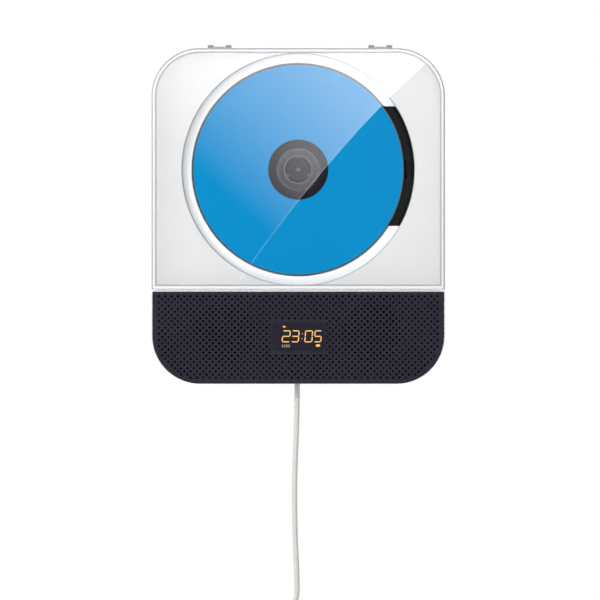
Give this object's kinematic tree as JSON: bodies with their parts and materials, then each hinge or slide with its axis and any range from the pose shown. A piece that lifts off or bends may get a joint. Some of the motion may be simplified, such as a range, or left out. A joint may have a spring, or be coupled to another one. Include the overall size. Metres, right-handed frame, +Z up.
{
  "type": "wall mounted disc player",
  "caption": "Flat square disc player that hangs on a wall bracket, with a clear hinged lid over the disc, a perforated speaker grille and a pull lead.",
  "frame": {"origin": "centre of the wall bracket's four-screw pattern, on the wall", "axes": "+Z up along the casing's height, +X to the right seen from the front, the front faces -Y and the wall is at +Y"},
  "size_m": [0.166, 0.042, 0.4268],
  "materials": {
    "casing_white": "satin moulded",
    "cover_clear": "clear polished plastic",
    "grille_dark": "fine satin paint",
    "window_dark": "smoked",
    "mechanism_black": "moulded",
    "steel": "ground",
    "zinc": "plated sheet",
    "rubber_black": "soft",
    "paper_cone": "pressed",
    "disc_print": "printed and lacquered",
    "lens_glass": "coated",
    "gear_white": "moulded",
    "board_green": "solder mask",
    "chip_black": "moulded",
    "battery_blue": "shrink film",
    "lead_white": "soft cable jacket",
    "plug_metal": "plated"
  },
  "bodies": {
    "bracket": {"wall_bracket": "zinc"},
    "casing": {"rear_cover": "casing_white", "rear_screws": "steel", "rubber_pads": "rubber_black", "front_deck": "casing_white", "hinge_pins": "steel", "speaker_grille": "grille_dark", "grille_frame": "window_dark", "grille_screws": "steel", "display_window": "window_dark", "display_module": "chip_black", "mechanism_cover": "mechanism_black", "mechanism_chassis": "zinc", "rubber_mounts": "rubber_black", "mechanism_screws": "steel", "spindle_motor": "zinc", "guide_rods": "steel", "feed_motor": "zinc", "gear_axle": "steel", "main_board": "board_green", "board_parts": "chip_black", "battery_pack": "battery_blue", "button_board": "board_green", "button_switches": "chip_black", "audio_jack": "chip_black", "cord_bushing": "lead_white", "pull_spring": "steel", "pull_switch": "chip_black", "left_speaker_frame": "zinc", "left_speaker_magnet": "chip_black", "left_speaker_surround": "rubber_black", "right_speaker_frame": "zinc", "right_speaker_magnet": "chip_black", "right_speaker_surround": "rubber_black"},
    "lid": {"dust_cover": "cover_clear"},
    "spindle": {"spindle_shaft": "steel", "turntable": "mechanism_black", "turntable_pad": "rubber_black", "clamp_balls": "steel", "compact_disc": "disc_print"},
    "sled": {"pickup_sled": "mechanism_black", "sled_rack": "gear_white"},
    "lens": {"lens_holder": "mechanism_black", "objective_lens": "lens_glass"},
    "feed_wheel": {"feed_gear": "gear_white"},
    "pinion": {"motor_pinion": "gear_white"},
    "left_cone": {"left_speaker_cone": "paper_cone"},
    "right_cone": {"right_speaker_cone": "paper_cone"},
    "pull_lead": {"pull_slider": "gear_white", "lead_drop": "lead_white", "lead_coil": "lead_white", "lead_tail": "lead_white", "coil_tie": "lead_white", "usb_plug_body": "lead_white", "usb_plug_shell": "plug_metal"},
    "key_previous": {"button_previous": "casing_white"},
    "key_play": {"button_play": "casing_white"},
    "key_next": {"button_next": "casing_white"},
    "key_quieter": {"button_quieter": "casing_white"},
    "key_louder": {"button_louder": "casing_white"}
  },
  "joints": [
    {"name": "casing_lift", "type": "slide", "parent": "bracket", "child": "casing", "axis": [0, 0, 1], "range_m": [0, 0.007]},
    {"name": "lid_hinge", "type": "hinge", "parent": "casing", "child": "lid", "pos_m": [0, -0.0315, 0.0946], "axis": [-1, 0, 0], "range_deg": [0, 105]},
    {"name": "disc_spin", "type": "hinge", "parent": "casing", "child": "spindle", "pos_m": [0, -0.028, 0.0264], "axis": [0, -1, 0], "continuous": true},
    {"name": "sled_travel", "type": "slide", "parent": "casing", "child": "sled", "axis": [1, 0, 0], "range_m": [0, 0.034]},
    {"name": "lens_focus", "type": "slide", "parent": "sled", "child": "lens", "axis": [0, -1, 0], "range_m": [-0.0004, 0.0004], "stiffness_N_per_m": 40},
    {"name": "feed_gear_turn", "type": "hinge", "parent": "casing", "child": "feed_wheel", "pos_m": [0.04, -0.012, 0.0038], "axis": [0, 1, 0], "range_deg": [-5, 469]},
    {"name": "pinion_turn", "type": "hinge", "parent": "casing", "child": "pinion", "pos_m": [0.03312, -0.011, -0.00603], "axis": [0, 1, 0], "range_deg": [-1397, 5]},
    {"name": "pull_switch_travel", "type": "slide", "parent": "casing", "child": "pull_lead", "axis": [0, 0, -1], "range_m": [0, 0.004], "stiffness_N_per_m": 400, "springref_m": -0.003, "deforming": ["pull_spring"]},
    {"name": "press_previous", "type": "slide", "parent": "casing", "child": "key_previous", "axis": [0, 0, -1], "range_m": [0, 0.0008], "stiffness_N_per_m": 300, "springref_m": -0.001},
    {"name": "press_play", "type": "slide", "parent": "casing", "child": "key_play", "axis": [0, 0, -1], "range_m": [0, 0.0008], "stiffness_N_per_m": 300, "springref_m": -0.001},
    {"name": "press_next", "type": "slide", "parent": "casing", "child": "key_next", "axis": [0, 0, -1], "range_m": [0, 0.0008], "stiffness_N_per_m": 300, "springref_m": -0.001},
    {"name": "press_quieter", "type": "slide", "parent": "casing", "child": "key_quieter", "axis": [0, 0, -1], "range_m": [0, 0.0008], "stiffness_N_per_m": 300, "springref_m": -0.001},
    {"name": "press_louder", "type": "slide", "parent": "casing", "child": "key_louder", "axis": [0, 0, -1], "range_m": [0, 0.0008], "stiffness_N_per_m": 300, "springref_m": -0.001},
    {"name": "left_cone_travel", "type": "slide", "parent": "casing", "child": "left_cone", "axis": [0, -1, 0], "range_m": [-0.0008, 0.0008], "stiffness_N_per_m": 1500},
    {"name": "right_cone_travel", "type": "slide", "parent": "casing", "child": "right_cone", "axis": [0, -1, 0], "range_m": [-0.0008, 0.0008], "stiffness_N_per_m": 1500}
  ],
  "couplings": [
    {"joint": "feed_gear_turn", "follows": "sled_travel", "rad_per_m": 238.1},
    {"joint": "pinion_turn", "follows": "sled_travel", "rad_per_m": -714.29}
  ]
}
